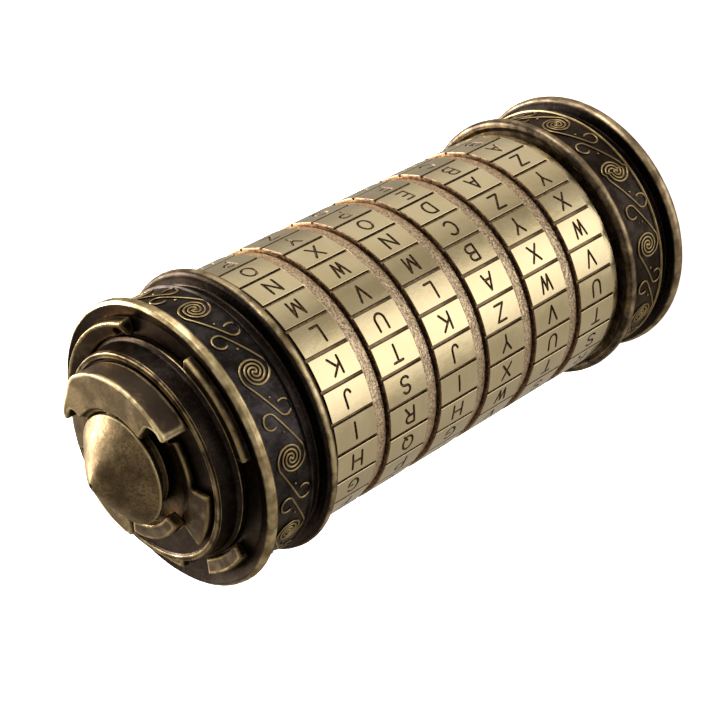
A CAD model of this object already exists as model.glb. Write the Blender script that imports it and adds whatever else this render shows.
"""Looks for the cryptex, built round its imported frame.

Engraved letter rings, scroll bands, a stepped rosette and turned caps stand in for the plain
CAD solids. Sizes are in millimetres in the frame's own axes until they reach a mesh.
"""
from math import ceil, cos, hypot, pi, radians, sin, tan

import bmesh
import bpy
import numpy as np
from mathutils import Matrix, Vector, noise


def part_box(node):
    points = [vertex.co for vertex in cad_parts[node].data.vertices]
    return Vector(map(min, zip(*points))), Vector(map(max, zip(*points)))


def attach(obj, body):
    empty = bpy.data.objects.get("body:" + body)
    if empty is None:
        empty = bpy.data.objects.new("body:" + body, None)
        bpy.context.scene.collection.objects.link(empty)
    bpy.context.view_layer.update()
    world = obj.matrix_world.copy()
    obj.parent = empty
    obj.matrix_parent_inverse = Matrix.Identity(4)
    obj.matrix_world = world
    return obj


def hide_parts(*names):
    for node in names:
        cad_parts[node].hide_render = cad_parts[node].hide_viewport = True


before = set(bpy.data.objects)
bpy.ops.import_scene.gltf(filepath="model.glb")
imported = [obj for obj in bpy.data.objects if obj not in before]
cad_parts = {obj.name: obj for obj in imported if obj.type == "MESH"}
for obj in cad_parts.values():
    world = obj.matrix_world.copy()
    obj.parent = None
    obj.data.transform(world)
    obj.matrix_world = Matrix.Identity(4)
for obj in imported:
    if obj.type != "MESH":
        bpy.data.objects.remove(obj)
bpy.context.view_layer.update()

MM = 0.001
CAP_STEPS = 360
LETTERS = "ABCDEFGHIJKLMNOPQRSTUVWXYZ"
TILES = len(LETTERS)
TILE_ANGLE = 360.0 / TILES

# Letter rings: where each ring's first groove stands, and the letter on the tile after it.
GROOVE_DEG = (-32.72, -26.05, -24.91, -18.96, -17.80, -31.58)
FIRST_LETTER = "OYPFCA"
TILE_LEN = 10.0
GROOVE_WIDTH = 0.74
GROOVE_DEPTH = 0.34
TILE_CROWN = 0.11
LETTER_HEIGHT = 3.3
LETTER_WIDTH = 2.3
STROKE_HALF = 0.22
STROKE_DEPTH = 0.24
BAND = (0.75, 0.075)        # how far the band tapers in at its back edge, and its roughness
LAST_BAND = (0.22, 0.006)

WRAP_R = 26.0               # radius at which brushed lines have their true length

# Material slots of a letter ring.
TILE, FILL, BAND_FACE, WALL, GROOVE = range(5)

# Scroll bands: ten double spirals a turn, each with a hook at both ends and two dots.
SCROLLS = 10
SCROLL_R = 26.58
SCROLL_PITCH = 2 * pi * SCROLL_R / SCROLLS
SCROLL_LINE = 0.24
SPIRAL_TURNS = 1.78
SPIRAL_R = (0.12, 2.90)
SPIRAL_RUNOUT = 0.45        # how much further out the last part of a spiral swings
SPIRAL_LEAVE_DEG = -68.0
HOOK_CENTRE = (7.68, 1.98)
HOOK_R = 1.45
HOOK_DEG = (-52, 232)
DOT_R = 0.26
DOTS = ((5.14, 0.03), (-5.0, -0.03))

# Caps and the round parts that share their bores.
RIM_R, BEAD_R = 28.6, 28.5
STUD_HOLE_R = 3.25
BASE_BORE_R = 16.5

# Stepped rosette: radii, and angles about the axis as start and end.
PLATE_R, PLATE_LOBE_R = 14.6, 19.0
PLATE_LOBES_DEG = ((-167.0, -128.0), (32.5, 66.0))
PLATE_HOLLOW_R = 14.2       # the plate sinks inside this, round the foot of the cone
CLAW_SEAT_R = 10.9
CLAW_SEAT_DEG = (-91.0, 32.5)
CLAW_R = (11.3, 18.97)
CLAW_BACK_DEG = (-86.0, -5.0)
CLAW_LIP = (12.2, 127.3)    # radius and height of the claw's inner lip
CLAW_HOOK = ((18.85, -2.0), (18.45, 2.4), (17.8, 6.8), (17.25, 12.1), (16.95, 17.9), (16.7, 23.6),
             (16.4, 28.5), (15.7, 31.4), (15.2, 31.9), (14.75, 29.5), (15.0, 24.0), (14.95, 20.0),
             (14.6, 17.6), (13.8, 16.0), (12.4, 15.3))
CLAW_MOUTH = ((14.0, -75.0), (15.6, -74.9), (16.65, -76.1), (17.5, -79.5), (17.85, -82.9),
              (17.7, -87.2), (18.45, -89.3))
MIDDLE_CLAW = (12.6, 16.1, 84.2, 135.2)
INNER_CLAW = (11.6, 14.5, 139.0, 198.5)
LUGS_DEG = ((-26.0, 70.0), (-112.0, -63.5), (166.6, 196.3), (108.0, 148.0))
LUG_R = (22.25, 25.45)
LUG_BITE_R = 1.6

# Cone.
CONE_R, CONE_HEIGHT, CONE_BULGE = 10.35, 6.9, 0.86
CONE_FOOT_R = 8.8

# Studio: the tent's even light, and soft boxes as azimuth from -Y toward -X, height, where they
# are full, where they fade out (all degrees) and their brightness.
TENT_LIGHT = 0.42
SOFT_BOXES = (
    (18.0, -36.0, 6.0, 34.0, 1.6),
    (-80.0, -36.0, 10.0, 35.0, 0.45),
    (85.0, -36.0, 10.0, 35.0, 0.12),
    (205.0, 16.0, 20.0, 42.0, 1.1),
)
TENT_COLOUR = (1.0, 0.96, 0.88)
BOX_COLOUR = (1.0, 0.99, 1.0)
# Lamps: name, place, size and power.
LAMPS = (("back", (500, 500, 340), (350, 350), 11.0), ("left", (600, -300, 200), (400, 500), 3.0))
LAMP_AIM = (0.0, 0.0, 70.0)

# Camera.
CAMERA_LENS = 97.55
CAMERA_AIM = (-3.5, 0.0, 69.5)
CAMERA_DISTANCE = 382.5
CAMERA_ELEVATION = 36.09
CAMERA_ROLL = -119.0


# ---------------------------------------------------------------- sizes from the frame

def reach(node):
    """Largest distance of a CAD node from the axis, in mm."""
    return max(hypot(v.co.x, v.co.y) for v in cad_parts[node].data.vertices) / MM


def heights(node):
    """Lowest and highest z of a CAD node, in mm."""
    low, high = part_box(node)
    return low.z / MM, high.z / MM


# ---------------------------------------------------------------- mesh helpers

def polar(radius, degrees):
    return radius * cos(radians(degrees)), radius * sin(radians(degrees))


def rounded(corners, spacing=0.35, arc_steps=5):
    """Closed outline through (x, y, fillet) corners: rounded, with points along its long runs."""
    count = len(corners)
    points = []
    for i, (x, y, fillet) in enumerate(corners):
        corner = Vector((x, y))
        before = Vector(corners[i - 1][:2]) - corner
        after = Vector(corners[(i + 1) % count][:2]) - corner
        if fillet <= 0.0:
            points.append(corner)
            continue
        back = min(fillet / tan(before.angle(after) / 2), before.length / 2, after.length / 2)
        start = corner + before.normalized() * back
        end = corner + after.normalized() * back
        for k in range(arc_steps + 1):
            t = k / arc_steps
            points.append(start * (1 - t) ** 2 + corner * 2 * t * (1 - t) + end * t ** 2)
    dense = []
    for i, point in enumerate(points):
        run = points[(i + 1) % len(points)] - point
        pieces = max(1, ceil(run.length / spacing))
        dense += [point + run * k / pieces for k in range(pieces)]
    return [(p.x, p.y) for p in dense]


def mesh_object(name, vertices, faces, smooth=True):
    mesh = bpy.data.meshes.new(name)
    mesh.from_pydata([[c * MM for c in v] for v in vertices], [], faces)
    mesh.validate()
    if smooth:
        mesh.polygons.foreach_set("use_smooth", [True] * len(mesh.polygons))
    return link(name, mesh)


def turned(name, outline, steps=CAP_STEPS, wobble=0.0, grain=1.5):
    """Turn a closed (radius, height) outline about Z; wobble roughens it like a casting."""
    count = len(outline)
    vertices = []
    for i in range(steps):
        angle = 2 * pi * i / steps
        for radius, z in outline:
            if wobble:
                spot = Vector((radius * cos(angle), radius * sin(angle), z)) / grain
                radius -= wobble * (0.5 + 0.5 * noise.noise(spot))
            vertices.append((radius * cos(angle), radius * sin(angle), z))
    faces = []
    for i in range(steps):
        here, there = i * count, (i + 1) % steps * count
        for k in range(count):
            after = (k + 1) % count
            faces.append((here + k, here + after, there + after, there + k))
    obj = mesh_object(name, vertices, faces)
    bm = bmesh.new()
    bm.from_mesh(obj.data)
    bmesh.ops.remove_doubles(bm, verts=bm.verts, dist=0.000001)
    bmesh.ops.recalc_face_normals(bm, faces=bm.faces)
    bm.to_mesh(obj.data)
    bm.free()
    return obj


def prism_mesh(outline, z_low, z_high, top_outline=None, mesh_name="prism"):
    """Solid between an outline at z_low and another, or the same, at z_high."""
    top_outline = top_outline or outline
    bm = bmesh.new()
    low = [bm.verts.new((x * MM, y * MM, z_low * MM)) for x, y in outline]
    high = [bm.verts.new((p[0] * MM, p[1] * MM, (p[2] if len(p) > 2 else z_high) * MM))
            for p in top_outline]
    bm.faces.new(list(reversed(low)))
    bm.faces.new(high)
    for i in range(len(low)):
        j = (i + 1) % len(low)
        bm.faces.new((low[i], low[j], high[j], high[i]))
    bmesh.ops.recalc_face_normals(bm, faces=bm.faces)
    mesh = bpy.data.meshes.new(mesh_name)
    bm.to_mesh(mesh)
    bm.free()
    return mesh


def swept(outline, start, end, step=2.0):
    """Solid swept by a closed (radius, height) outline from one angle to another about Z."""
    count = max(2, ceil(abs(end - start) / step) + 1)
    bm = bmesh.new()
    rings = []
    for i in range(count):
        degrees = start + (end - start) * i / (count - 1)
        rings.append([bm.verts.new([c * MM for c in (*polar(r, degrees), z)]) for r, z in outline])
    for here, there in zip(rings, rings[1:]):
        for k in range(len(outline)):
            after = (k + 1) % len(outline)
            bm.faces.new((here[k], here[after], there[after], there[k]))
    bm.faces.new(rings[0])
    bm.faces.new(rings[-1])
    bmesh.ops.recalc_face_normals(bm, faces=bm.faces)
    mesh = bpy.data.meshes.new("swept")
    bm.to_mesh(mesh)
    bm.free()
    return mesh


def link(name, data):
    obj = bpy.data.objects.new(name, data)
    bpy.context.scene.collection.objects.link(obj)
    return obj


def apply_modifiers(obj):
    """Bake an object's modifiers into its mesh."""
    graph = bpy.context.evaluated_depsgraph_get()
    graph.update()
    mesh = bpy.data.meshes.new_from_object(obj.evaluated_get(graph), depsgraph=graph)
    obj.modifiers.clear()
    obj.data = mesh
    return obj


def cut(obj, cutters):
    for cutter in cutters:
        boolean = obj.modifiers.new("cut", "BOOLEAN")
        boolean.operation = "DIFFERENCE"
        boolean.solver = "EXACT"
        boolean.object = cutter
    apply_modifiers(obj)
    for cutter in cutters:
        bpy.data.objects.remove(cutter, do_unlink=True)
    return obj


def cast(obj, voxel=0.2, rounds=14):
    """Give a block the soft edges and slight unevenness of a casting."""
    remesh = obj.modifiers.new("cast", "REMESH")
    remesh.mode = "VOXEL"
    remesh.voxel_size = voxel * MM
    soften = obj.modifiers.new("soften", "SMOOTH")
    soften.factor = 0.5
    soften.iterations = rounds
    apply_modifiers(obj)
    obj.data.polygons.foreach_set("use_smooth", [True] * len(obj.data.polygons))
    return obj


def mark_wear(obj, spread=5, full=1.1):
    """Store in 'wear' how sharply each vertex stands out, and in 'hollow' how deep it sits."""
    mesh = obj.data
    count = len(mesh.vertices)
    place = np.empty(count * 3)
    mesh.vertices.foreach_get("co", place)
    place = place.reshape(-1, 3) / MM
    normal = np.empty(count * 3)
    mesh.vertex_normals.foreach_get("vector", normal)
    normal = normal.reshape(-1, 3)
    ends = np.empty(len(mesh.edges) * 2, dtype=np.int32)
    mesh.edges.foreach_get("vertices", ends)
    a, b = ends.reshape(-1, 2).T
    run = place[a] - place[b]
    length = np.maximum((run ** 2).sum(1), 1e-6)
    ties = np.bincount(a, minlength=count) + np.bincount(b, minlength=count)
    ties = np.maximum(ties, 1)
    bend = np.bincount(a, 2 * (normal[a] * run).sum(1) / length, count)
    bend -= np.bincount(b, 2 * (normal[b] * run).sum(1) / length, count)
    bend /= ties
    for _ in range(spread):
        near = np.bincount(a, bend[b], count) + np.bincount(b, bend[a], count)
        bend = 0.5 * bend + 0.5 * near / ties
    for name, value in (("wear", bend / full), ("hollow", -bend / full)):
        layer = mesh.attributes.new(name, "FLOAT", "POINT")
        layer.data.foreach_set("value", np.clip(value, 0.0, 1.0).astype(np.float32))
    return obj


# ---------------------------------------------------------------- materials

class Shader:
    """A material with a Principled shader and short ways to add nodes to it."""

    def __init__(self, name, colour=(0.5, 0.5, 0.5), metallic=1.0, roughness=0.4):
        self.material = bpy.data.materials.new(name)
        self.material.use_nodes = True
        self.tree = self.material.node_tree
        self.surface = self.tree.nodes["Principled BSDF"]
        self.place = self.add("ShaderNodeTexCoord").outputs["Object"]
        self.set("Base Color", colour)
        self.set("Metallic", metallic)
        self.set("Roughness", roughness)
        self.material.diffuse_color = (*colour, 1.0)

    def add(self, kind, **settings):
        node = self.tree.nodes.new(kind)
        for key, value in settings.items():
            setattr(node, key, value)
        return node

    def plug(self, socket, value):
        if isinstance(value, bpy.types.NodeSocket):
            self.tree.links.new(value, socket)
        elif isinstance(value, tuple) and len(value) == 3 and socket.type == "RGBA":
            socket.default_value = (*value, 1.0)
        else:
            socket.default_value = value

    def set(self, socket, value):
        self.plug(self.surface.inputs[socket], value)

    def noise(self, scale, detail=4.0, rough=0.55, vector=None):
        """Noise with a feature size of about 1/scale mm."""
        node = self.add("ShaderNodeTexNoise")
        self.plug(node.inputs["Vector"], vector or self.place)
        node.inputs["Scale"].default_value = scale / MM
        node.inputs["Detail"].default_value = detail
        node.inputs["Roughness"].default_value = rough
        return node.outputs["Fac"]

    def attribute(self, name):
        return self.add("ShaderNodeAttribute", attribute_name=name).outputs["Fac"]

    def range(self, value, low, high, to_low=0.0, to_high=1.0):
        node = self.add("ShaderNodeMapRange", interpolation_type="SMOOTHSTEP")
        for key, part in (("Value", value), ("From Min", low), ("From Max", high),
                          ("To Min", to_low), ("To Max", to_high)):
            self.plug(node.inputs[key], part)
        return node.outputs["Result"]

    def math(self, operation, a, b=0.0, c=0.0):
        node = self.add("ShaderNodeMath", operation=operation)
        for socket, value in zip(node.inputs, (a, b, c)):
            self.plug(socket, value)
        return node.outputs[0]

    def mix(self, factor, a, b):
        node = self.add("ShaderNodeMix", data_type="RGBA")
        self.plug(node.inputs["Factor"], factor)
        colours = [s for s in node.inputs if s.type == "RGBA"]
        self.plug(colours[0], a)
        self.plug(colours[1], b)
        return next(s for s in node.outputs if s.type == "RGBA")

    def bump(self, height, depth, strength=1.0):
        """depth is the height of a full step, in mm."""
        node = self.add("ShaderNodeBump")
        node.inputs["Strength"].default_value = strength
        node.inputs["Distance"].default_value = depth * MM
        self.plug(node.inputs["Height"], height)
        self.set("Normal", node.outputs["Normal"])

    def split(self, vector=None):
        """The X, Y and Z of a vector, by default of the place on the object."""
        node = self.add("ShaderNodeSeparateXYZ")
        self.plug(node.inputs[0], vector or self.place)
        return node.outputs["X"], node.outputs["Y"], node.outputs["Z"]

    def wrapped(self, along, around):
        """Coordinates round the Z axis, stretched: along scales z, around scales the arc."""
        x, y, z = self.split()
        joined = self.add("ShaderNodeCombineXYZ")
        self.plug(joined.inputs["X"], self.math("MULTIPLY", self.math("ARCTAN2", y, x), around * WRAP_R * MM))
        self.plug(joined.inputs["Y"], self.math("MULTIPLY", z, along))
        self.plug(joined.inputs["Z"], self.math("MULTIPLY", self.radius(), along))
        return joined.outputs[0]

    def radius(self):
        """Distance from the Z axis, in metres."""
        node = self.add("ShaderNodeVectorMath", operation="MULTIPLY")
        self.plug(node.inputs[0], self.place)
        node.inputs[1].default_value = (1.0, 1.0, 0.0)
        size = self.add("ShaderNodeVectorMath", operation="LENGTH")
        self.plug(size.inputs[0], node.outputs[0])
        return size.outputs["Value"]


GOLD_DEEP = (0.25, 0.17, 0.075)
GOLD_MID = (0.42, 0.31, 0.15)
GOLD_BRIGHT = (0.66, 0.52, 0.28)
PATINA_DARK = (0.016, 0.013, 0.012)
PATINA_MID = (0.046, 0.040, 0.037)
PATINA_LIGHT = (0.085, 0.070, 0.060)
RAISED_DARK = (0.045, 0.031, 0.020)
RAISED_MID = (0.135, 0.098, 0.056)
BROWN_DARK = (0.018, 0.012, 0.009)
BROWN_MID = (0.034, 0.025, 0.019)
# What the metals reflect at a grazing angle.
EDGE_TINT = (0.80, 0.71, 0.63)
GOLD_TINT = (0.93, 0.85, 0.73)
COPPER_TINT = (0.66, 0.52, 0.40)


def patina(name, wear_low=0.35, wear_high=0.75, worn=None, low=PATINA_DARK, mid=PATINA_MID,
           worn_low=GOLD_DEEP, worn_high=GOLD_MID):
    """Dark antique patina that is rubbed back to gold where the 'wear' attribute is high."""
    s = Shader(name, mid, 1.0, 0.4)
    s.set("Specular Tint", EDGE_TINT)
    blotch = s.range(s.noise(0.28, 5.0, 0.6), 0.40, 0.68)
    speck = s.range(s.noise(2.2, 3.0, 0.65), 0.52, 0.72)
    dark = s.mix(blotch, low, mid)
    dark = s.mix(s.math("MULTIPLY", speck, 0.4), dark, PATINA_LIGHT)
    gold = s.mix(s.range(s.noise(0.35, 3.0, 0.5), 0.30, 0.72), worn_low, worn_high)
    wear = worn(s) if worn else s.attribute("wear")
    wear = s.math("MULTIPLY", wear, s.range(s.noise(0.22, 2.0), 0.36, 0.60, 0.62, 1.0))
    ragged = s.math("MULTIPLY_ADD", s.math("SUBTRACT", s.noise(1.2, 4.0, 0.7), 0.5), 0.4, wear)
    shown = s.range(ragged, wear_low, wear_high)
    s.set("Base Color", s.mix(shown, dark, gold))
    s.set("Roughness", s.range(s.noise(1.1, 3.0), 0.3, 0.7, 0.30, 0.42))
    s.bump(s.math("MULTIPLY_ADD", s.noise(0.9, 5.0, 0.65), 1.0, s.noise(5.0, 2.0)), 0.04, 0.7)
    return s.material


def rim_wear(s):
    """Rims are rubbed to brown gold where they stand furthest out, the outermost two most."""
    z, radius = s.split()[2], s.radius()
    outermost = s.math("MAXIMUM", s.range(z, 110.0 * MM, 112.0 * MM),
                       s.range(z, 3.0 * MM, 4.0 * MM, 1.0, 0.0))
    base_bead = s.math("MULTIPLY", s.range(z, 12.0 * MM, 13.0 * MM),
                       s.range(z, 40.0 * MM, 60.0 * MM, 1.0, 0.0))
    bead = s.range(radius, 28.1 * MM, 28.5 * MM, 0.0, 0.72)
    crest = s.range(radius, 27.5 * MM, 28.3 * MM)
    front = s.range(radius, 25.8 * MM, 28.0 * MM, 0.72, 0.40)
    worn = s.math("MAXIMUM", bead, s.math("MULTIPLY", outermost, crest))
    return s.math("MAXIMUM", worn, s.math("MULTIPLY", base_bead, front))


def line_wear(ridge_top):
    """Gold on what stands above the band's face, above a given height."""
    def worn(s):
        proud = s.range(s.radius(), (SCROLL_R + 0.02) * MM, (SCROLL_R + 0.2) * MM)
        return s.math("MULTIPLY", proud, s.range(s.split()[2], (ridge_top - 0.1) * MM, ridge_top * MM))
    return worn


def gold_brown(name, speckle=0.6, walls=True):
    """Worn gold brown with dark mottling and bright edges; upright walls are darker."""
    s = Shader(name, GOLD_MID, 1.0, 0.36)
    s.set("Specular Tint", GOLD_TINT)
    cloud = s.range(s.noise(0.20, 5.0, 0.6), 0.38, 0.66)
    base = s.mix(cloud, (0.115, 0.076, 0.038), (0.285, 0.20, 0.10))
    dots = s.range(s.noise(2.0, 6.0, 0.8), 0.48, 0.62)
    base = s.mix(s.math("MULTIPLY", dots, speckle), base, (0.070, 0.046, 0.028))
    if walls:
        facing_up = s.split(s.add("ShaderNodeTexCoord").outputs["Normal"])[2]
        upright = s.range(facing_up, 0.35, 0.8, 1.0, 0.0)
        faded = s.math("MULTIPLY_ADD", s.math("SUBTRACT", s.noise(0.6, 4.0), 0.5), 0.004, s.split()[2])
        upright = s.math("MULTIPLY", upright, s.range(faded, 125.6 * MM, 128.2 * MM, 0.95, 0.15))
        base = s.mix(upright, base, (0.055, 0.038, 0.028))
    edge = s.math("MULTIPLY_ADD", s.math("SUBTRACT", s.noise(1.4, 3.0), 0.5), 0.35, s.attribute("wear"))
    if walls:
        edge = s.math("MULTIPLY", edge, s.range(s.radius(), 13.0 * MM, 18.0 * MM, 0.5, 1.05))
        edge = s.math("MULTIPLY", edge, s.range(s.noise(0.22, 2.0), 0.36, 0.56, 0.45, 1.0))
    base = s.mix(s.range(edge, 0.15, 0.95), base, GOLD_BRIGHT)
    base = s.mix(s.range(s.attribute("hollow"), 0.1, 0.6), base, PATINA_DARK)
    s.set("Base Color", base)
    s.set("Roughness", s.range(s.noise(1.5, 3.0), 0.3, 0.7, 0.40, 0.52))
    s.bump(s.noise(2.5, 4.0, 0.7), 0.02, 0.5)
    return s.material


def tile_brass(name):
    """Pale yellow brass, finely brushed round the ring."""
    s = Shader(name, (0.66, 0.54, 0.31), 1.0, 0.22)
    brushed = s.noise(4.0, 2.0, 0.5, s.wrapped(1.0, 0.06))
    tone = s.range(s.noise(0.12, 3.0), 0.35, 0.65)
    colour = s.mix(tone, (0.62, 0.50, 0.285), (0.68, 0.56, 0.335))
    s.set("Base Color", s.mix(s.range(brushed, 0.35, 0.65, 0.0, 0.12), colour, (0.50, 0.38, 0.18)))
    s.set("Roughness", s.range(tone, 0.0, 1.0, 0.20, 0.26))
    s.bump(s.noise(0.26, 3.0), 0.09, 0.7)
    return s.material


def band_brass(name):
    """Rosy, hammered brass of the tapered band."""
    s = Shader(name, (0.70, 0.54, 0.36), 1.0, 0.42)
    s.set("Specular Tint", EDGE_TINT)
    grain = s.noise(2.6, 3.0, 0.6)
    colour = s.mix(s.range(grain, 0.36, 0.60), (0.36, 0.25, 0.15), (0.80, 0.63, 0.42))
    s.set("Base Color", colour)
    s.set("Roughness", s.range(grain, 0.3, 0.7, 0.30, 0.46))
    s.bump(grain, 0.09, 0.8)
    return s.material


def engraving(name):
    """Dark brown fill of letters and grooves, with a trace of brass left in it."""
    s = Shader(name, (0.05, 0.028, 0.016), 1.0, 0.5)
    grain = s.noise(2.0, 4.0, 0.6)
    s.set("Base Color", s.mix(s.range(grain, 0.40, 0.68), (0.085, 0.05, 0.03), (0.26, 0.17, 0.10)))
    s.set("Roughness", s.range(grain, 0.3, 0.7, 0.42, 0.6))
    return s.material


def groove_floor(name):
    """Brown brass at the bottom of the grooves between tiles."""
    s = Shader(name, (0.26, 0.175, 0.095), 1.0, 0.5)
    grain = s.noise(1.6, 4.0, 0.6)
    s.set("Base Color", s.mix(s.range(grain, 0.35, 0.65), (0.20, 0.13, 0.07), (0.36, 0.26, 0.15)))
    s.set("Roughness", s.range(grain, 0.3, 0.7, 0.42, 0.6))
    return s.material


def copper_wall(name):
    """Brown copper of a ring's front wall."""
    s = Shader(name, (0.42, 0.25, 0.14), 1.0, 0.4)
    s.set("Specular Tint", COPPER_TINT)
    grain = s.noise(1.4, 4.0, 0.6)
    s.set("Base Color", s.mix(s.range(grain, 0.35, 0.65), (0.22, 0.14, 0.09), (0.44, 0.31, 0.20)))
    s.set("Roughness", s.range(grain, 0.3, 0.7, 0.34, 0.5))
    return s.material


def turned_metal(name, colour, light, roughness=0.25):
    """Clean machined metal with fine turning lines."""
    s = Shader(name, colour, 1.0, roughness)
    lines = s.noise(3.0, 3.0, 0.6, s.wrapped(1.0, 0.04))
    s.set("Base Color", s.mix(s.range(lines, 0.35, 0.65), colour, light))
    s.set("Roughness", s.range(lines, 0.3, 0.7, roughness - 0.04, roughness + 0.08))
    s.bump(lines, 0.006, 0.5)
    return s.material


# ---------------------------------------------------------------- letters

def arc(cx, cy, rx, ry, start, end):
    steps = max(3, round(abs(end - start) / 18))
    angles = (radians(start + (end - start) * i / steps) for i in range(steps + 1))
    return [(cx + rx * cos(a), cy + ry * sin(a)) for a in angles]


# Strokes of each letter in a cell one wide and one high.
STROKES = {
    "A": [[(0, 0), (.5, 1)], [(.5, 1), (1, 0)], [(.2, .34), (.8, .34)]],
    "B": [[(0, 0), (0, 1)], [(0, 1), (.5, 1)], arc(.5, .76, .36, .24, 90, -90), [(0, .52), (.5, .52)],
          arc(.52, .26, .42, .26, 90, -90), [(0, 0), (.52, 0)]],
    "C": [arc(.55, .5, .55, .5, 45, 180), arc(.55, .5, .55, .5, 180, 315)],
    "D": [[(0, 0), (0, 1)], [(0, 1), (.4, 1)], arc(.4, .5, .56, .5, 90, -90), [(0, 0), (.4, 0)]],
    "E": [[(0, 0), (0, 1)], [(0, 1), (.85, 1)], [(0, .52), (.75, .52)], [(0, 0), (.85, 0)]],
    "F": [[(0, 0), (0, 1)], [(0, 1), (.85, 1)], [(0, .52), (.72, .52)]],
    "G": [arc(.54, .5, .54, .5, 45, 180), arc(.54, .5, .54, .5, 180, 340), [(1.03, .33), (1.03, .47)],
          [(.6, .47), (1.03, .47)]],
    "H": [[(0, 0), (0, 1)], [(1, 0), (1, 1)], [(0, .52), (1, .52)]],
    "I": [[(.5, 0), (.5, 1)]],
    "J": [[(.78, 1), (.78, .3)], arc(.45, .3, .33, .3, 0, -165)],
    "K": [[(0, 0), (0, 1)], [(.92, 1), (0, .36)], [(.34, .6), (1, 0)]],
    "L": [[(0, 0), (0, 1)], [(0, 0), (.8, 0)]],
    "M": [[(0, 0), (0, 1)], [(0, 1), (.5, .12)], [(.5, .12), (1, 1)], [(1, 1), (1, 0)]],
    "N": [[(0, 0), (0, 1)], [(0, 1), (1, 0)], [(1, 0), (1, 1)]],
    "O": [arc(.5, .5, .55, .5, 0, 180), arc(.5, .5, .55, .5, 180, 360)],
    "P": [[(0, 0), (0, 1)], [(0, 1), (.5, 1)], arc(.5, .74, .4, .26, 90, -90), [(0, .48), (.5, .48)]],
    "Q": [arc(.5, .5, .55, .5, 0, 180), arc(.5, .5, .55, .5, 180, 360), [(.62, .28), (1.02, -.06)]],
    "R": [[(0, 0), (0, 1)], [(0, 1), (.5, 1)], arc(.5, .75, .4, .25, 90, -90), [(0, .5), (.5, .5)],
          [(.48, .5), (.95, 0)]],
    "S": [arc(.5, .74, .4, .26, 30, 180), arc(.5, .74, .4, .22, 180, 270), arc(.5, .27, .44, .25, 90, 0),
          arc(.5, .27, .44, .27, 0, -155)],
    "T": [[(0, 1), (1, 1)], [(.5, 1), (.5, 0)]],
    "U": [[(0, 1), (0, .38)], arc(.48, .38, .48, .38, 180, 360), [(.96, .38), (.96, 1)]],
    "V": [[(0, 1), (.5, 0)], [(.5, 0), (1, 1)]],
    "W": [[(-.1, 1), (.2, 0)], [(.2, 0), (.5, .9)], [(.5, .9), (.8, 0)], [(.8, 0), (1.1, 1)]],
    "X": [[(0, 0), (1, 1)], [(0, 1), (1, 0)]],
    "Y": [[(0, 1), (.5, .46)], [(1, 1), (.5, .46)], [(.5, .46), (.5, 0)]],
    "Z": [[(0, 1), (1, 1)], [(1, 1), (0, 0)], [(0, 0), (1, 0)]],
}


def stroke_outline(path, half):
    """Outline of a round-ended stroke of the given half width along an open path."""
    points = [Vector(p) for p in path]
    left, right = [], []
    for i, point in enumerate(points):
        ahead = points[min(i + 1, len(points) - 1)] - points[max(i - 1, 0)]
        side = Vector((-ahead.y, ahead.x)).normalized() * half
        left.append(point + side)
        right.append(point - side)

    def cap(tip, side):
        return [tip + Matrix.Rotation(-pi * k / 6, 2) @ side for k in range(1, 6)]

    start_side = right[0] - points[0]
    end_side = left[-1] - points[-1]
    outline = left + cap(points[-1], end_side) + right[::-1] + cap(points[0], start_side)
    return [(p.x, p.y) for p in outline[::-1]]


def letter_tile(letter, facet_r):
    """One engraved tile. X is the reading direction, Y is up, Z is out; its top is at facet_r."""
    half_y = facet_r * tan(pi / TILES) - GROOVE_WIDTH / 2
    half_x = TILE_LEN / 2
    foot = facet_r - GROOVE_DEPTH - 0.15
    chamfer = 0.05
    strips = 12
    bm = bmesh.new()
    rows = []
    for i in range(strips + 1):
        y = -half_y + chamfer + (2 * half_y - 2 * chamfer) * i / strips
        top = facet_r + TILE_CROWN * (1 - (y / half_y) ** 2)
        rows.append((y, top))
    section = [(-half_y - 0.06, foot), (-half_y, facet_r - chamfer), *rows, (half_y, facet_r - chamfer),
               (half_y + 0.06, foot)]
    back = [bm.verts.new((-half_x * MM, y * MM, z * MM)) for y, z in section]
    front = [bm.verts.new(((half_x - chamfer) * MM, y * MM, z * MM)) for y, z in section]
    nose = [bm.verts.new((half_x * MM, y * MM, min(z, facet_r - chamfer) * MM)) for y, z in section]
    count = len(section)
    for i in range(count):
        j = (i + 1) % count
        bm.faces.new((back[i], back[j], front[j], front[i]))
        face = (front[i], front[j], nose[j], nose[i])
        bm.faces.new(face)
    bm.faces.new(back[::-1])
    bm.faces.new(nose)
    bmesh.ops.recalc_face_normals(bm, faces=bm.faces)
    mesh = bpy.data.meshes.new(f"tile_{letter}")
    bm.to_mesh(mesh)
    bm.free()
    tile = link(f"tile_{letter}", mesh)
    cutters = []
    for path in STROKES[letter]:
        spots = [((x - 0.5) * LETTER_WIDTH, (y - 0.5) * LETTER_HEIGHT) for x, y in path]
        floor = stroke_outline(spots, STROKE_HALF * 0.55)
        brim = stroke_outline(spots, STROKE_HALF * 1.3)
        solid = prism_mesh(floor, facet_r - STROKE_DEPTH, facet_r + 0.12, brim, "stroke")
        solid.polygons.foreach_set("material_index", [FILL] * len(solid.polygons))
        cutters.append(link("stroke", solid))
    for _ in range(5):
        tile.data.materials.append(None)
    for poly in tile.data.polygons:
        deep = poly.center.z / MM < facet_r - chamfer * 1.2 and abs(poly.normal.x) < 0.5
        poly.material_index = FILL if deep else WALL if poly.normal.x > 0.3 else TILE
    return cut(tile, cutters)


# ---------------------------------------------------------------- letter rings

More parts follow.
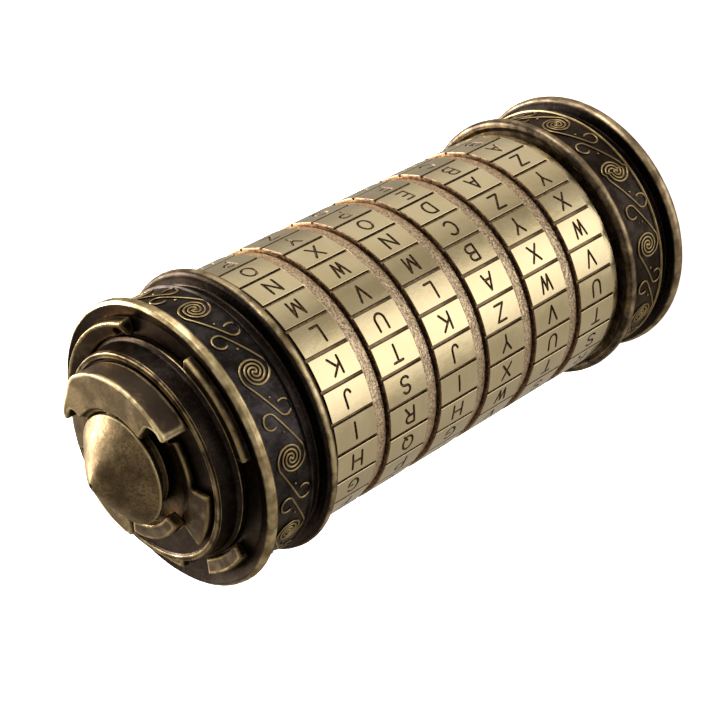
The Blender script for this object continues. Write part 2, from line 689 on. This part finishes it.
def ring_body(name, node, groove_deg, end_drop, rough):
    """Core of a letter ring: front wall, groove floor, tapered band, back and bore."""
    low, top = heights(node)
    outer = reach(node)
    facet = outer * cos(pi / TILES)
    bore = 20.0
    per_tile = 32
    columns = TILES * per_tile
    floor_r = facet - GROOVE_DEPTH
    band_top = top - TILE_LEN
    band_rows = 14
    band_end_r = outer - end_drop
    vertices = []
    for c in range(columns):
        angle = radians(groove_deg + c * 360.0 / columns)
        offset = (c % per_tile / per_tile - 0.5) * 2 * pi / TILES
        flat_r = facet / cos(offset)
        column = [(bore, top), (floor_r - 0.02, top), (floor_r, top - 0.05), (floor_r, top - TILE_LEN * 0.5),
                  (floor_r, band_top)]
        for k in range(band_rows + 1):
            t = k / band_rows
            z = band_top + (low + 0.25 - band_top) * t
            radius = flat_r + (band_end_r - flat_r) * t ** 1.15
            spot = Vector((radius * cos(angle), radius * sin(angle), z))
            bumps = noise.noise(spot * 1.9) + 0.8 * noise.noise(spot * 3.7)
            edge = min(1.0, t * 6)
            column.append((radius - rough * edge * (0.8 + bumps), z))
        column += [(band_end_r - 0.12, low + 0.06), (band_end_r - 0.35, low), (bore, low)]
        vertices += [(r * cos(angle), r * sin(angle), z) for r, z in column]
    count = len(vertices) // columns
    faces, slots = [], []
    for c in range(columns):
        here, there = c * count, (c + 1) % columns * count
        for k in range(count):
            after = (k + 1) % count
            faces.append((here + k, there + k, there + after, here + after))
            if k in (0, count - 1, count - 2):
                slots.append(WALL)
            elif k < 5:
                slots.append(GROOVE)
            else:
                slots.append(BAND_FACE)
    obj = mesh_object(name, vertices, faces)
    obj.data.polygons.foreach_set("material_index", slots)
    for poly in obj.data.polygons:
        if poly.material_index == WALL and abs(poly.normal.z) > 0.9:
            poly.use_smooth = False
    return obj, facet, top


def letter_rings(tile_materials):
    facet = reach("letter_ring_1") * cos(pi / TILES)
    tiles = {letter: letter_tile(letter, facet) for letter in LETTERS}
    for n in range(len(FIRST_LETTER)):
        node = f"letter_ring_{n + 1}"
        shape = BAND if n < len(FIRST_LETTER) - 1 else LAST_BAND
        obj, facet, top = ring_body(f"engraved_ring_{n + 1}", node, GROOVE_DEG[n], *shape)
        bm = bmesh.new()
        bm.from_mesh(obj.data)
        first = LETTERS.index(FIRST_LETTER[n])
        for k in range(TILES):
            letter = LETTERS[(first - k) % TILES]
            centre = radians(GROOVE_DEG[n] - (k + 0.5) * TILE_ANGLE)
            out = Vector((cos(centre), sin(centre), 0.0))
            reading = Vector((0.0, 0.0, 1.0))
            up = out.cross(reading)
            turn = Matrix((reading, up, out)).transposed().to_4x4()
            start = len(bm.verts)
            bm.from_mesh(tiles[letter].data)
            bm.verts.ensure_lookup_table()
            place = Matrix.Translation((0.0, 0.0, (top - TILE_LEN / 2) * MM)) @ turn
            bmesh.ops.transform(bm, matrix=place, verts=bm.verts[start:])
        bm.to_mesh(obj.data)
        bm.free()
        for slot, material in enumerate(tile_materials):
            plain = slot == BAND_FACE and shape is LAST_BAND
            obj.data.materials.append(tile_materials[TILE] if plain else material)
        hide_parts(node)
        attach(obj, f"ring_{n + 1}")
    for tile in tiles.values():
        bpy.data.objects.remove(tile, do_unlink=True)


# ---------------------------------------------------------------- scroll bands

def scroll_path():
    """One motif unrolled flat: hook, line, double spiral, line, hook. It is its own half turn."""
    spiral = []
    for i in range(61):
        t = i / 60
        angle = radians(SPIRAL_LEAVE_DEG) - 2 * pi * SPIRAL_TURNS * (1 - t)
        radius = SPIRAL_R[0] + (SPIRAL_R[1] - SPIRAL_R[0]) * t ** 0.96
        radius += SPIRAL_RUNOUT * max(0.0, t - 0.86) / 0.14
        spiral.append(Vector((radius * cos(angle), radius * sin(angle))))
    hook = [Vector(HOOK_CENTRE) + Vector(polar(HOOK_R, a)) for a in range(*HOOK_DEG, 12)]
    line = [spiral[-1].lerp(hook[0], k / 10) for k in range(1, 10)]
    half = spiral + line + hook
    return [-p for p in half][::-1] + half


def scroll_lines(name, on_band):
    """The raised lines of a scroll band as one mesh, laid by on_band(x, y, lift)."""
    curve = bpy.data.curves.new(name, "CURVE")
    curve.dimensions = "3D"
    curve.bevel_depth = SCROLL_LINE * MM
    curve.bevel_resolution = 2
    curve.use_fill_caps = True
    path = scroll_path()
    for n in range(SCROLLS):
        spline = curve.splines.new("POLY")
        spline.points.add(len(path) - 1)
        for i, (point, spot) in enumerate(zip(spline.points, path)):
            point.co = (*on_band(spot.x + n * SCROLL_PITCH, spot.y, -0.02), 1.0)
            near_end = min(i, len(path) - 1 - i)
            point.radius = (0.45, 0.8, 1.0)[min(near_end, 2)]
    lines = link(name, curve)
    graph = bpy.context.evaluated_depsgraph_get()
    graph.update()
    mesh = bpy.data.meshes.new_from_object(lines.evaluated_get(graph))
    bpy.data.objects.remove(lines, do_unlink=True)
    return mesh


def scroll_band(name, node, body, centre_z, spiral_deg, skew, seam_deg, material):
    """A scroll band: spirals start at spiral_deg, and skew is how far they climb from the seam."""
    low, high = heights(node)
    outer = reach(node)
    outline = rounded([
        (25.72, high - 0.02, 0.0), (SCROLL_R - 0.1, high - 0.02, 0.1), (SCROLL_R, low + 0.9, 0.25),
        (SCROLL_R - 0.05, low + 0.55, 0.1), (outer - 0.05, low + 0.35, 0.2), (outer - 0.1, low + 0.02, 0.15),
        (25.72, low + 0.02, 0.0)], 0.3)
    band = turned(name, outline, CAP_STEPS, 0.05, 2.2)

    def on_band(x, y, lift=0.0):
        degrees = spiral_deg - x / SCROLL_R * 180 / pi
        turn = ((seam_deg - degrees) % 360) / 360 - 0.5
        px, py = polar(SCROLL_R + lift, degrees)
        return px * MM, py * MM, (centre_z - y + skew * turn) * MM

    bm = bmesh.new()
    bm.from_mesh(band.data)
    bm.from_mesh(scroll_lines(name + "_lines", on_band))
    for n in range(SCROLLS):
        for x, y in DOTS:
            spot = Matrix.Translation(on_band(x + n * SCROLL_PITCH, y))
            bmesh.ops.create_icosphere(bm, subdivisions=2, radius=DOT_R * MM, matrix=spot)
    for face in bm.faces:
        face.smooth = True
    bm.to_mesh(band.data)
    bm.free()
    finish(band, node, body, material)


def paint(obj, material):
    obj.data.materials.clear()
    obj.data.materials.append(material)


def finish(obj, node, body, material):
    """Give a piece its material and put it in its node's place, on the node's body."""
    paint(obj, material)
    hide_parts(node)
    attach(obj, body)


# ---------------------------------------------------------------- caps

def rim(radius, front, back, depth=1.35):
    """Round bead, front to back, standing out to the given radius."""
    middle, half = (front + back) / 2, (front - back) / 2
    turn = [radians(90 - 15 * i) for i in range(13)]
    return [(radius - depth + depth * abs(cos(a)) ** 0.75, middle + half * sin(a), 0.0) for a in turn]


def base_cap(material):
    outline = rounded([
        (BASE_BORE_R, 17.3, 0), (26.3, 17.3, 0.3), *rim(RIM_R, 17.88, 15.42), (25.55, 15.3, 0.15),
        (25.5, 5.3, 0.0), (25.75, 5.1, 0.1), (25.75, 2.95, 0.2), *rim(BEAD_R, 2.7, 0.02),
        (24.7, 0.0, 0.2), (24.6, 5.35, 0), (BASE_BORE_R, 5.35, 0)])
    cap = mark_wear(turned("base_cap_casting", outline, CAP_STEPS, 0.08, 1.8))
    finish(cap, "base_cap", "base", material)


def top_cap(material):
    outline = rounded([
        (STUD_HOLE_R, 116.8, 0), (25.5, 116.8, 0.6), (27.2, 117.4, 0.8), (27.9, 117.68, 0.4),
        (28.5, 117.1, 0.5), (28.7, 116.0, 0.5), (28.3, 115.5, 0.3),
        (25.55, 115.4, 0.15), (25.5, 105.5, 0), (25.8, 105.2, 0.1), (25.8, 103.3, 0.4),
        *rim(BEAD_R, 103.0, 100.45), (23.55, 100.42, 0.2), (23.5, 112.05, 0), (STUD_HOLE_R, 112.05, 0)])
    cap = mark_wear(turned("top_cap_casting", outline, CAP_STEPS, 0.08, 1.8))
    finish(cap, "top_cap", "core", material)


# ---------------------------------------------------------------- rosette and cone

def arc_points(radius, start, end, step=2.0):
    count = max(2, ceil(abs(end - start) / step) + 1)
    return [polar(radius, start + (end - start) * i / (count - 1)) for i in range(count)]


def sector(inner, outer, start, end):
    return arc_points(outer, start, end) + arc_points(inner, end, start)


def block(node, mesh, material, cutters=(), spread=14):
    """A raised block: cut, cast, and worn over a band that widens with spread."""
    obj = link(f"{node}_casting", mesh)
    if cutters:
        cut(obj, cutters)
    finish(mark_wear(cast(obj), spread, 0.62), node, "core", material)


def bite(radius, centre, z_low, z_high):
    outline = [(centre[0] + radius * cos(2 * pi * i / 32), centre[1] + radius * sin(2 * pi * i / 32))
               for i in range(32)]
    return link("bite", prism_mesh(outline, z_low, z_high))


def rosette_step(material):
    low, high = heights("rosette_step")
    outline = rounded([
        (STUD_HOLE_R, high - 0.45, 0), (19.3, high - 0.45, 0.15), (19.75, high - 0.03, 0.2),
        (20.6, high - 0.03, 0.25), (20.85, high - 0.6, 0.4), (21.15, 118.5, 0.6), (21.8, 117.9, 0.4),
        (21.9, low + 0.02, 0), (STUD_HOLE_R, low + 0.02, 0)])
    step = mark_wear(turned("rosette_step_casting", outline, CAP_STEPS, 0.06, 1.8))
    finish(step, "rosette_step", "core", material)


def rosette_plate(material):
    low, high = heights("rosette_plate")
    first, second = PLATE_LOBES_DEG
    outline = (arc_points(PLATE_LOBE_R, *first) + arc_points(PLATE_R, first[1], CLAW_SEAT_DEG[0])
               + arc_points(CLAW_SEAT_R, *CLAW_SEAT_DEG) + arc_points(PLATE_LOBE_R, *second)
               + arc_points(PLATE_R, second[1], first[0] + 360.0))
    hole = bite(3.3, (0.0, 0.0), low - 1, high + 1)
    plate = cast(cut(link("rosette_plate_casting", prism_mesh(outline, low, high)), [hole]))
    for v in plate.data.vertices:
        depth = min(1.0, max(0.0, (PLATE_HOLLOW_R * MM - hypot(v.co.x, v.co.y)) / (3.0 * MM)))
        v.co.z -= (v.co.z - low * MM) * 0.75 * depth * depth * (3 - 2 * depth)
    finish(mark_wear(plate, 10, 0.9), "rosette_plate", "core", material)


def claws(brown, raised):
    low, high = heights("claw_high")
    outline = (arc_points(CLAW_R[1], *CLAW_BACK_DEG) + [polar(*spot) for spot in CLAW_HOOK]
               + arc_points(CLAW_R[0], CLAW_HOOK[-1][1], CLAW_MOUTH[0][1])
               + [polar(*spot) for spot in CLAW_MOUTH])
    lip_r, lip_z = CLAW_LIP
    lip = swept([(10.0, lip_z), (lip_r, lip_z), (lip_r, high + 1), (10.0, high + 1)], -80.0, 20.0)
    block("claw_high", prism_mesh(outline, low, high), brown, [link("lip", lip)], 10)
    block("claw_middle", prism_mesh(sector(*MIDDLE_CLAW), *heights("claw_middle")), brown)
    block("claw_inner", prism_mesh(sector(*INNER_CLAW), *heights("claw_inner")), raised)


def rim_lugs(material):
    inner, outer = LUG_R
    for i, (start, end) in enumerate(LUGS_DEG):
        node = f"rim_lug_{i + 1}"
        low, high = heights(node)
        ridge = swept([(inner, low), (outer, low), (outer - 0.05, high - 0.75), (outer - 0.4, high - 0.02),
                       (outer - 0.85, high - 0.22), (inner, low + 1.3)], start, end)
        bites = [bite(LUG_BITE_R, polar(22.5, start + 6.0), low + 0.6, high + 1)] if i == 0 else []
        block(node, ridge, material, bites, 10)


def cone(material):
    tip = heights("cone")[1]
    steps = [i / 24 for i in range(25)]
    slope = [(0.5 + CONE_R * t ** CONE_BULGE, tip - 0.1 - CONE_HEIGHT * t, 0.0) for t in steps]
    outline = rounded([
        (0.0, tip - 0.35, 0), *slope, (10.85, 127.0, 0.2), (10.4, 126.75, 0.2), (9.3, 126.4, 0.3),
        (CONE_FOOT_R, 125.2, 0.6), (CONE_FOOT_R + 0.1, 123.9, 0.1), (STUD_HOLE_R, 123.87, 0),
        (STUD_HOLE_R, 124.38, 0), (0.0, 124.38, 0)], 0.3)
    finish(mark_wear(turned("cone_casting", outline, 240, 0.04, 1.2), full=1.6), "cone", "core", material)


# ---------------------------------------------------------------- inner parts

def inner_parts(steel, brass, dark):
    """The tube as a finer turned piece; the other inner CAD parts keep their shape."""
    low, high = heights("inner_tube")
    lid = high - 2.4
    outline = [(STUD_HOLE_R, high, 0), (13.55, high, 0.3), (13.6, low, 0.3), (12.2, low, 0.3),
               (12.2, lid, 0.2), (STUD_HOLE_R, lid, 0)]
    tube = turned("inner_tube_turned", rounded(outline, 4.0, 3), 128)
    finish(tube, "inner_tube", "core", brass)
    counts = range(1, len(FIRST_LETTER) + 1)
    brass_nodes = ["retaining_collar"] + [f"code_ring_{n}" for n in counts]
    steel_nodes = ["slotted_sleeve", "cone_stud", "base_screw_1", "base_screw_2", "base_screw_3"]
    steel_nodes += [f"lock_peg_{n}" for n in counts]
    for names, material in ((brass_nodes, brass), (steel_nodes, steel), (["base_plate"], dark)):
        for name in names:
            paint(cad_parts[name], material)


# ---------------------------------------------------------------- studio

def camera():
    data = bpy.data.cameras.new("camera")
    data.lens = CAMERA_LENS
    data.sensor_width = 36.0
    data.clip_start = 0.01
    obj = link("camera", data)
    elevation = radians(CAMERA_ELEVATION)
    back = Vector((0.0, -cos(elevation), sin(elevation))) * CAMERA_DISTANCE
    roll = Matrix.Rotation(radians(CAMERA_ROLL), 4, "Z")
    tilt = Matrix.Rotation(pi / 2 - elevation, 4, "X")
    obj.matrix_world = Matrix.Translation((Vector(CAMERA_AIM) + back) * MM) @ tilt @ roll
    bpy.context.scene.camera = obj


def floor():
    obj = mesh_object("floor", [(-4000, -4000, 0), (4000, -4000, 0), (4000, 4000, 0), (-4000, 4000, 0)],
                      [(0, 1, 2, 3)], False)
    s = Shader("floor_paper", (0.9, 0.9, 0.9), 0.0, 0.9)
    s.set("Base Color", s.mix(s.noise(0.02, 2.0), (0.89, 0.89, 0.89), (0.91, 0.91, 0.91)))
    s.set("Emission Color", (1.0, 1.0, 1.0))
    s.set("Emission Strength", 1.0)
    obj.data.materials.append(s.material)
    obj.visible_glossy = False
    obj.visible_shadow = False


def lamp(name, place, size, power):
    data = bpy.data.lights.new(name, "AREA")
    data.shape = "RECTANGLE"
    data.size, data.size_y = size[0] * MM, size[1] * MM
    data.energy = power
    obj = link(name, data)
    here, there = Vector(place) * MM, Vector(LAMP_AIM) * MM
    obj.matrix_world = Matrix.Translation(here) @ (here - there).to_track_quat("Z", "Y").to_matrix().to_4x4()
    obj.visible_camera = False


def soft_box(tree, way, azimuth, height, narrow, wide, gain):
    """Brightness that one soft box gives the world: a round patch with a soft edge."""
    flat = cos(radians(height))
    dot = tree.nodes.new("ShaderNodeVectorMath")
    dot.operation = "DOT_PRODUCT"
    tree.links.new(way, dot.inputs[0])
    dot.inputs[1].default_value = (-sin(radians(azimuth)) * flat, -cos(radians(azimuth)) * flat,
                                   sin(radians(height)))
    edge = tree.nodes.new("ShaderNodeMapRange")
    edge.interpolation_type = "SMOOTHSTEP"
    tree.links.new(dot.outputs["Value"], edge.inputs["Value"])
    edge.inputs["From Min"].default_value = cos(radians(wide))
    edge.inputs["From Max"].default_value = cos(radians(narrow))
    edge.inputs["To Max"].default_value = gain
    return edge.outputs["Result"]


def studio():
    """A white tent: soft boxes seen in the metal as bright patches of the world, and two lamps."""
    world = bpy.data.worlds.new("studio")
    bpy.context.scene.world = world
    world.use_nodes = True
    tree = world.node_tree
    way = tree.nodes.new("ShaderNodeTexCoord").outputs["Generated"]

    def total(a, b):
        join = tree.nodes.new("ShaderNodeMath")
        join.operation = "ADD"
        tree.links.new(a, join.inputs[0])
        if isinstance(b, float):
            join.inputs[1].default_value = b
        else:
            tree.links.new(b, join.inputs[1])
        return join.outputs[0]

    boxes = soft_box(tree, way, *SOFT_BOXES[0])
    for box in SOFT_BOXES[1:]:
        boxes = total(boxes, soft_box(tree, way, *box))
    tone = tree.nodes.new("ShaderNodeMix")
    tone.data_type = "RGBA"
    tree.links.new(boxes, tone.inputs["Factor"])
    near, far = [s for s in tone.inputs if s.type == "RGBA"]
    near.default_value = (*TENT_COLOUR, 1.0)
    far.default_value = (*BOX_COLOUR, 1.0)
    colour = next(s for s in tone.outputs if s.type == "RGBA")
    background = tree.nodes["Background"]
    tree.links.new(colour, background.inputs["Color"])
    tree.links.new(total(boxes, TENT_LIGHT), background.inputs["Strength"])
    for settings in LAMPS:
        lamp(*settings)
    bpy.context.scene.view_settings.view_transform = "Standard"


# ---------------------------------------------------------------- assembly

dark_casting = patina("dark_casting", 0.40, 1.0, low=BROWN_DARK, mid=BROWN_MID)
raised_casting = patina("raised_casting", 0.2, 1.0, low=RAISED_DARK, mid=RAISED_MID)
cap_casting = patina("cap_casting", 0.15, 0.75, rim_wear, BROWN_DARK, BROWN_MID,
                     GOLD_DEEP, (0.68, 0.54, 0.30))
base_casting = patina("base_casting", 0.15, 0.85, rim_wear, BROWN_DARK, BROWN_MID,
                      (0.20, 0.135, 0.075), (0.54, 0.405, 0.235))
near_scroll = patina("near_scroll_patina", 0.15, 0.6, line_wear(106.75))
far_scroll = patina("far_scroll_patina", 0.15, 0.6, line_wear(0.0), BROWN_DARK, (0.040, 0.030, 0.024))
plate_patina = patina("plate_patina", worn=lambda s: s.noise(0.5))
gold_casting = gold_brown("gold_brown_casting")

camera()
floor()
studio()
letter_rings([tile_brass("tile_brass"), engraving("engraving"), band_brass("band_brass"),
              copper_wall("copper_wall"), groove_floor("groove_floor")])
scroll_band("top_scroll_casting", "top_scroll_band", "core", 109.73, -82.33, 0.0, 0.0, near_scroll)
scroll_band("base_scroll_casting", "base_scroll_band", "base", 9.48, -79.3, 0.7, -78.8, far_scroll)
base_cap(base_casting)
top_cap(cap_casting)
rosette_step(dark_casting)
rosette_plate(raised_casting)
claws(gold_casting, raised_casting)
rim_lugs(raised_casting)
cone(gold_brown("cone_gold_brown", 0.85, False))
inner_parts(turned_metal("steel", (0.48, 0.47, 0.45), (0.62, 0.61, 0.59)),
            turned_metal("inner_brass", (0.55, 0.41, 0.18), (0.68, 0.53, 0.27)), plate_patina)
